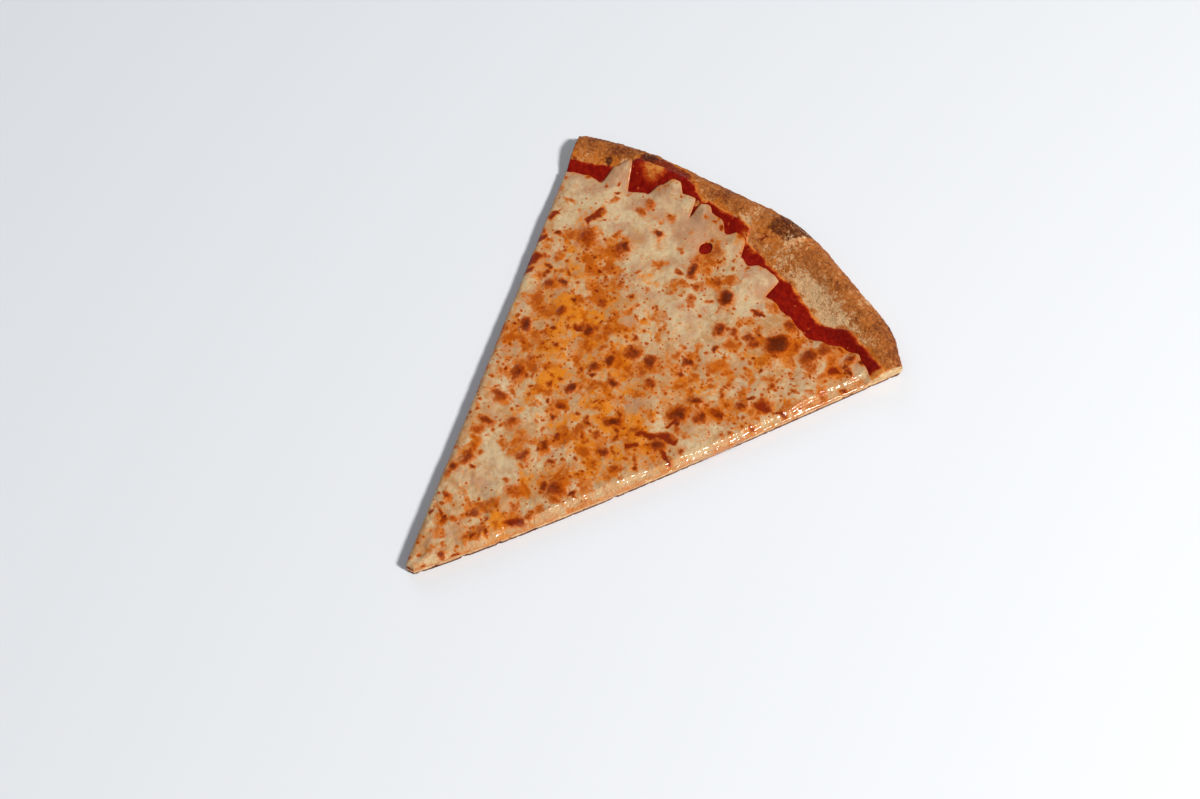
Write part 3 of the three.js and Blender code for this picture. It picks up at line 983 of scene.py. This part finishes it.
SAUCE_FEATHER = 2.6
SAUCE_BULGE = 0.1
SAUCE_SINK = 0.05  # of its underside into the dough
SAUCE_UNDERLAP = 12  # mm under the cheese that are still fine
SAUCE_LEAST = 0.12
CHEESE_LEAST = 0.5
SPOT_STRETCH = 1.18
SPOT_FADE = 0.7  # of the browning around a spot, for each radius outwards
FAINTEST_SPOT = 0.22
# Spots of each kind: how many are tried, their least and greatest radius, and a seed.
SMALL_SPOTS = (500, (0.9, 1.5), 5)
MIDDLING_SPOTS = (230, (1.4, 3.2), 6)
# Noises on the cheese: height in mm, size in mm, seed, and octaves if not 3.
CHEESE_LUMPS = [(0.42, 13, 42), (0.26, 5, 43, 2)]
CHEESE_GRAIN = [(0.12, 1.8, 44, 2)]
LUMPY_TIP = (30, 90)  # mm from the centre over which the higher lumps of the tip fade
SHOULDER = 2  # width of the step up from the ledge
NARROW = 80  # mm from the centre inside which widths along the cut shrink
NARROWEST = 0.3  # share of them that is left at the tip
THIN_SAUCE = [(-57, 231, 9, 1), (-90, 219, 8, 0.7), (1, 230, 6, 0.8)]  # x, y, radius and strength


def resampled(loop, spacing):
    """A closed loop with its points evenly spaced along it."""
    closed = np.vstack([loop, loop[:1]])
    run = np.concatenate([[0], np.cumsum(np.linalg.norm(np.diff(closed, axis=0), axis=1))])
    at = np.linspace(0, run[-1], round(run[-1] / spacing), endpoint=False)
    return np.column_stack([np.interp(at, run, closed[:, k]) for k in range(2)])


def topping_loop(reach, spacing, tip_radius, right_out, left_out, wander):
    """The plan outline of a topping, anticlockwise from the right of the tip."""
    far = np.linspace(HALF_ANGLE, -HALF_ANGLE, OUTLINE_STEPS)
    tips = tip_angles()
    arc = np.radians(far) * PIE_RADIUS
    far_radius = along(reach, far) + wander * (line_noise(arc, 7, 20) + 0.12 * line_noise(arc, 1.6, 21))
    right = spaced(tip_radius, far_radius[0], spacing)
    left = spaced(far_radius[-1], tip_radius, spacing)

    def out(angle, radius, fade_from):
        side = smoothstep(np.abs(angle), fade_from, HALF_ANGLE)
        return side * np.where(angle > 0, right_out(radius), left_out(radius))

    loop = np.vstack([
        plan(HALF_ANGLE, right[:-1], right_out(right[:-1])),
        plan(far[:-1], far_radius[:-1], out(far[:-1], far_radius[:-1], HALF_ANGLE - CORNER)),
        plan(-HALF_ANGLE, left[:-1], left_out(left[:-1])),
        plan(tips[:-1], tip_radius, out(tips[:-1], np.full(len(tips) - 1, tip_radius), 0)),
    ])
    return resampled(loop, spacing)


def hole_loop(spacing):
    count = round(2 * np.pi * sum(HOLE_HALF) / 2 / spacing)
    t = np.linspace(2 * np.pi, 0, count, endpoint=False)
    pinched = [np.sign(v) * np.abs(v) ** HOLE_PINCH for v in (np.cos(t), np.sin(t))]
    return plan(HOLE_ANGLE, HOLE_RADIUS) + np.column_stack(pinched) * HOLE_HALF


def outward(loop):
    """Unit plan normals of a loop, to the right of its run."""
    run = np.roll(loop, -1, axis=0) - np.roll(loop, 1, axis=0)
    normal = np.column_stack([run[:, 1], -run[:, 0]])
    return normal / np.linalg.norm(normal, axis=1, keepdims=True)


def wall_sheet(loop, top, low, floor, bulge):
    """The side of a topping below one loop: it bulges, reaches down to `low` and ends at `floor`."""
    normal = outward(loop)
    rings = []
    for share in np.linspace(0, 1, WALL_ROWS):
        at_start = math.sin(math.pi * BULGE_START) * (1 - share)
        swell = math.sin(math.pi * (BULGE_START + (1 - BULGE_START) * share)) - at_start
        flat = loop + normal * (bulge * swell)[:, None]
        rings.append(np.column_stack([flat, top + (low - top) * share]))
    rings.append(np.column_stack([loop, floor]))
    return np.vstack(rings), strip(len(loop), WALL_ROWS + 1)


def topping_shell(loops, fine, heights, wall):
    """A topping from its loops: the top, a side below each loop, and a sparse underside."""
    flat, triangles = fill(loops, fine)
    distance = border_distance(flat, loops)
    top, floor = heights(flat, distance)
    shell = Shell()
    shell.add(np.column_stack([flat, top]), triangles, 0)
    start = 0
    for loop in loops:
        part = slice(start, start + len(loop))
        start += len(loop)
        low, bulge = wall(loop, floor[part])
        points, faces = wall_sheet(loop, top[part], low, floor[part], bulge)
        share = np.repeat(np.append(np.linspace(0, 1, WALL_ROWS), 1), len(loop))
        shell.add(points, faces, share)
    under, triangles = fill(loops, hidden_grading(lambda p: np.zeros(len(p), bool)))
    _, floor = heights(under, border_distance(under, loops))
    shell.add(np.column_stack([under, floor]), triangles[:, ::-1], 1)
    shell.merge()
    return shell


def scattered(count, radii, seed, chance):
    """Spots at random places in the slice, kept where `chance` is above a random number."""
    rng = np.random.default_rng(seed)
    turn = rng.uniform(-HALF_ANGLE, HALF_ANGLE, count)
    out = PIE_RADIUS * np.sqrt(rng.uniform(0, 1, count))
    size = radii[0] + (radii[1] - radii[0]) * rng.uniform(0, 1, count) ** 2
    strength = 0.85 * rng.uniform(0, 1, count) ** 1.6
    places = plan(turn, out)
    kept = rng.uniform(0, 1, count) < chance(places)
    return np.column_stack([places, size, strength])[kept]


def spot_field(points, spots):
    """How browned each point is by the strongest spot near it: below 0 outside all the spots.

    Each spot is drawn out by SPOT_STRETCH in a direction that follows from its place.
    """
    field = np.full(len(points), -1.0)
    order = np.argsort(points[:, 1])
    ys = points[order, 1]
    for x, y, radius, strength in spots:
        first, last = np.searchsorted(ys, (y - 2 * radius, y + 2 * radius))
        near = order[first:last]
        across, up = points[near, 0] - x, points[near, 1] - y
        cos, sin = math.cos(x + y), math.sin(x + y)
        length = (across * cos + up * sin) / SPOT_STRETCH
        breadth = (up * cos - across * sin) * SPOT_STRETCH
        share = np.hypot(length, breadth) / radius
        middle = FAINTEST_SPOT + (1 - FAINTEST_SPOT) * strength
        value = np.where(share < 1, middle * (1 - share**2), SPOT_FADE * (1 - share))
        field[near] = np.maximum(field[near], value)
    return field


def browning(points):
    """Where small spots are frequent, from 0 to 1."""
    return np.clip(0.3 + regions(points, BROWNED) - 0.75 * regions(points, PALE), 0.03, 1)


def narrowing(radius):
    return np.clip(radius / NARROW, NARROWEST, 1)


def from_right_cut(points):
    """Distance to the right-hand cut, counted as more where the slice is narrow."""
    angle, radius = polar(points)
    return np.radians(HALF_ANGLE - angle) * radius / narrowing(radius)


def cheese_looks(points):
    """Fields of the cheese at plan points, weighted: browned spots, oil, paleness and sauce."""
    uneven = warped(warped(points, 1.9, 6, 30), 0.55, 1.6, 32)
    small = scattered(*SMALL_SPOTS, lambda p: 0.12 + 0.8 * browning(p))
    middling = scattered(*MIDDLING_SPOTS, browning)
    edge = fade(from_right_cut(points), 2, 6)
    sauce = np.full(len(points), -1.0)
    for x0, y0, x1, y1, half_width in SAUCE_STREAKS:
        distance = segment_distance(uneven, ((x0, y0), (x1, y1)))
        sauce = np.maximum(sauce, 1 - distance / half_width)
    brown = np.maximum(spot_field(uneven, np.vstack([BLISTERS, middling, small])), 0.8 * sauce + 0.25)
    return {
        "brown": brown - 0.3 * edge,
        "dotted": 0.1 + 0.42 * browning(points) - 0.4 * edge,
        "tan": 1.8 * fractal(uneven, 8, 34, 4) + 0.8 * browning(points) - 0.5 - 0.2 * edge,
        "oil": regions(points, OILY) + 0.8 * fractal(uneven, 14, 36, 4) - 0.2 - 0.2 * edge,
        "pale": 0.6 * regions(points, PALE) - 0.8 * fractal(uneven, 10, 38, 4) + 0.3 * edge,
        "veil": 0.18 + regions(points, VEILED) + 0.9 * fractal(uneven, 8, 39, 4),
        "sauce": sauce - 0.5 * edge,
        "edge": edge,
    }


def cheese_relief(points, looks):
    """Lumps and dimples of melted cheese, raised blisters, and sunk wet patches."""
    uneven = warped(points, 3, 9, 40)
    relief = layered(uneven, CHEESE_LUMPS) + layered(points, CHEESE_GRAIN)
    relief *= 1 + 1.1 * fade(polar(points)[1], *LUMPY_TIP)
    placed = spot_field(warped(points, 0.8, 3, 46), BLISTERS)
    dome = np.clip(placed + 0.1, 0, 1)
    relief += 0.6 * np.sqrt(dome) * (1 - 0.6 * smoothstep(dome, 0.4, 0.9))
    relief += 0.16 * smoothstep(looks["brown"], -0.1, 0.5) - 0.3 * smoothstep(looks["sauce"], -0.2, 0.4)
    return relief


def rounded(distance, width):
    return np.sqrt(1 - (1 - np.clip(distance / width, 0, 1)) ** 2)


def ledge_width(radius):
    """Width of the sunk ledge along the right-hand cut: narrow above the large drip, wide by the rim."""
    return 0.4 + 1.3 * (1 - bell(radius, 145, 62)) + 1.2 * smoothstep(radius, 185, 215)


def cheese_heights(points, distance):
    angle, radius = polar(points)
    floor = cheese_bottom(angle, radius)
    inner = np.maximum(smoothstep(distance, 0, 7), fade(radius, 196, 208))
    full = (CHEESE_THICKNESS + waves(CHEESE_WAVES, angle, radius)) * (0.5 + 0.5 * inner)
    relief = cheese_relief(points, cheese_looks(points)) * smoothstep(distance, 0, 2.5)
    soft = EDGE_SHARE + (1 - EDGE_SHARE) * rounded(distance, ROUNDING)
    inwards = from_right_cut(points)
    ledge = ledge_width(radius) + 0.3 * line_noise(radius, 12, 47)
    shoulder = SHOULDER / narrowing(radius)
    soft *= LEDGE_SHARE + (1 - LEDGE_SHARE) * smoothstep(inwards, ledge, ledge + shoulder)
    beads = np.exp(-((inwards - ledge - 0.6 * shoulder) / (0.4 * shoulder)) ** 2)
    beads *= BEAD_HEIGHT * line_noise(radius, 1.3, 48, 1)
    return floor + np.maximum(full * soft + relief + beads, CHEESE_LEAST), floor


def cheese_wall(loop, floor):
    """How far down the side of the cheese reaches, and how much it bulges: it drips on the right."""
    angle, radius = polar(loop)
    on_right = smoothstep(angle, HALF_ANGLE - 0.3, HALF_ANGLE - 0.1)
    uneven = 1 + 0.35 * fractal(loop, 5, 50, 2)
    low = floor - CHEESE_LAP - on_right * swells(DRIPS, radius) * np.clip(uneven, 0.4, 1.15)
    ripple = 1 + 0.4 * fractal(loop, 2, 51, 2)
    return np.maximum(low, LOWEST_DRIP), EDGE_BULGE * (0.5 + 0.5 * on_right) * ripple


def build_cheese(material):
    def right_out(radius):
        return RIGHT_OUT + 0.16 * line_noise(radius, 1.9, 52, 1) + 0.14 * line_noise(radius, 9, 53)

    def left_out(radius):
        return LEFT_OUT + 0.3 * line_noise(radius, 7, 54)

    outer = topping_loop(CHEESE_REACH, CHEESE_SPACING, CHEESE_TIP, right_out, left_out, CHEESE_WANDER)
    loops = [outer, hole_loop(CHEESE_SPACING)]
    fine = [(CHEESE_SPACING, lambda p, d: d > 0)]
    shell = topping_shell(loops, fine, cheese_heights, cheese_wall)
    points = shell.points[:, :2]
    looks = cheese_looks(points)
    looks["brown"] -= 0.5 * shell.parts
    looks["oil"] += 1.7 * shell.parts
    looks["edge"] *= 1 - 0.75 * shell.parts
    angle, radius = polar(outer)
    far_edge = outer[(radius > FINE_FROM) & (np.abs(angle) < HALF_ANGLE - FAR_EDGE_INSET)]
    to_sauce = border_distance(points, [far_edge, loops[1]])
    looks["veil"] += 0.5 * fade(to_sauce, 1, 9)
    cut_line = fade(from_right_cut(points), 0, 1.1) * (0.85 + 0.5 * fractal(points, 5, 33))
    looks["thin"] = np.maximum(0.9 * fade(to_sauce, 0, 2), cut_line)
    return make_piece("melted_cheese", shell, looks, [material], "cheese")


def sauce_heights(points, distance):
    angle, radius = polar(points)
    floor = dough_top(angle, radius) - SAUCE_SINK
    beyond_cheese = smoothstep(radius, along(CHEESE_REACH, angle) - 3, along(CHEESE_REACH, angle))
    full = LAYER_GAP + SAUCE_THICKNESS + beyond_cheese * (
        0.25 * fractal(points, 5, 60) + 0.12 * fractal(points, 1.6, 61, 2))
    to_far_edge = along(SAUCE_REACH, angle) - radius
    feather = 0.15 + 0.85 * rounded(np.minimum(to_far_edge, distance + 1.5), SAUCE_FEATHER)
    return floor + np.maximum(full * feather, SAUCE_LEAST), floor


def sauce_wall(loop, floor):
    return floor, np.full(len(loop), SAUCE_BULGE)


def sauce_visible(points):
    angle, radius = polar(points)
    return (radius > FINE_FROM) & (radius > along(CHEESE_REACH, angle) - SAUCE_UNDERLAP)


def build_sauce(material):
    def out(radius):
        return SAUCE_OUT + 0.12 * line_noise(radius, 3, 62)

    loop = topping_loop(SAUCE_REACH, SAUCE_SPACING, SAUCE_TIP, out, out, SAUCE_WANDER)
    shell = topping_shell([loop], hidden_grading(sauce_visible), sauce_heights, sauce_wall)
    points = shell.points[:, :2]
    angle, radius = polar(points)
    to_edge = along(SAUCE_REACH, angle) - radius + 1.8 * fractal(points, 6, 64)
    to_edge += 4 * bell(angle, -12.5, 4.5)
    near_right = fade(from_right_cut(points), 1, 4.5)
    thin = np.maximum(1.1 * fade(to_edge, -0.6, 2.6), 1.2 * near_right)
    thin = np.maximum(thin, regions(points, THIN_SAUCE))
    return make_piece("tomato_sauce", shell, {"thin": thin}, [material], "sauce")


# ---- the picture ----

SLICE_MIDDLE = (0.0077, -0.0098, 0.0075)
CAMERA_DISTANCE = 0.6413
CAMERA_AZIMUTH = 43.69  # degrees: 0 looks along +Y
CAMERA_ELEVATION = 61.3
CAMERA_ROLL = -2.4
LENS = 42.9

FLOOR_HALF = 2.5
FLOOR_COLOUR = srgb(214, 217, 222)
FLOOR_ROUGHNESS = 0.9
ROOM_COLOUR = (0.9, 0.95, 1, 1)
ROOM_STRENGTH = 0.3

# Name, azimuth and elevation in degrees, distance and size in metres, watts, and colour.
LAMPS = [
    ("key_lamp", 100, 47, 2.6, 0.42, 84, (1, 0.97, 0.93)),
    ("fill_lamp", -110, 28, 2.4, 1.6, 9, (0.95, 0.97, 1)),
]


def towards(azimuth, elevation):
    """Unit vector from the slice to where a camera or lamp stands."""
    turn, up = math.radians(azimuth), math.radians(elevation)
    return Vector((math.sin(turn) * math.cos(up), -math.cos(turn) * math.cos(up), math.sin(up)))


def add_camera():
    data = bpy.data.cameras.new("camera")
    data.lens = LENS
    camera = bpy.data.objects.new("camera", data)
    away = towards(CAMERA_AZIMUTH, CAMERA_ELEVATION)
    rotation = away.to_track_quat("Z", "Y").to_matrix().to_4x4()
    roll = Matrix.Rotation(math.radians(CAMERA_ROLL), 4, "Z")
    place = Matrix.Translation(Vector(SLICE_MIDDLE) + away * CAMERA_DISTANCE)
    camera.matrix_world = place @ rotation @ roll
    bpy.context.scene.collection.objects.link(camera)
    bpy.context.scene.camera = camera


def add_lamp(name, azimuth, elevation, distance, size, power, colour):
    data = bpy.data.lights.new(name, "AREA")
    data.shape = "DISK"
    data.size = size
    data.energy = power
    data.color = colour
    lamp = bpy.data.objects.new(name, data)
    away = towards(azimuth, elevation)
    lamp.location = away * distance
    lamp.rotation_euler = away.to_track_quat("Z", "Y").to_euler()
    bpy.context.scene.collection.objects.link(lamp)


def add_surroundings():
    mesh = bpy.data.meshes.new("floor")
    corners = [(x * FLOOR_HALF, y * FLOOR_HALF, 0) for x, y in ((-1, -1), (1, -1), (1, 1), (-1, 1))]
    mesh.from_pydata(corners, [], [(0, 1, 2, 3)])
    plain = bpy.data.materials.new("pale_floor")
    plain.use_nodes = True
    shader = plain.node_tree.nodes["Principled BSDF"]
    shader.inputs["Base Color"].default_value = FLOOR_COLOUR
    shader.inputs["Roughness"].default_value = FLOOR_ROUGHNESS
    mesh.materials.append(plain)
    floor = bpy.data.objects.new("floor", mesh)
    bpy.context.scene.collection.objects.link(floor)
    world = bpy.data.worlds.new("soft_room")
    world.use_nodes = True
    background = world.node_tree.nodes["Background"]
    background.inputs["Color"].default_value = ROOM_COLOUR
    background.inputs["Strength"].default_value = ROOM_STRENGTH
    bpy.context.scene.world = world
    bpy.context.scene.view_settings.view_transform = "Standard"
    for lamp in LAMPS:
        add_lamp(*lamp)


add_camera()
add_surroundings()
build_dough([crust_finish(), crumb_finish(), base_finish()])
build_sauce(sauce_finish())
build_cheese(cheese_finish())
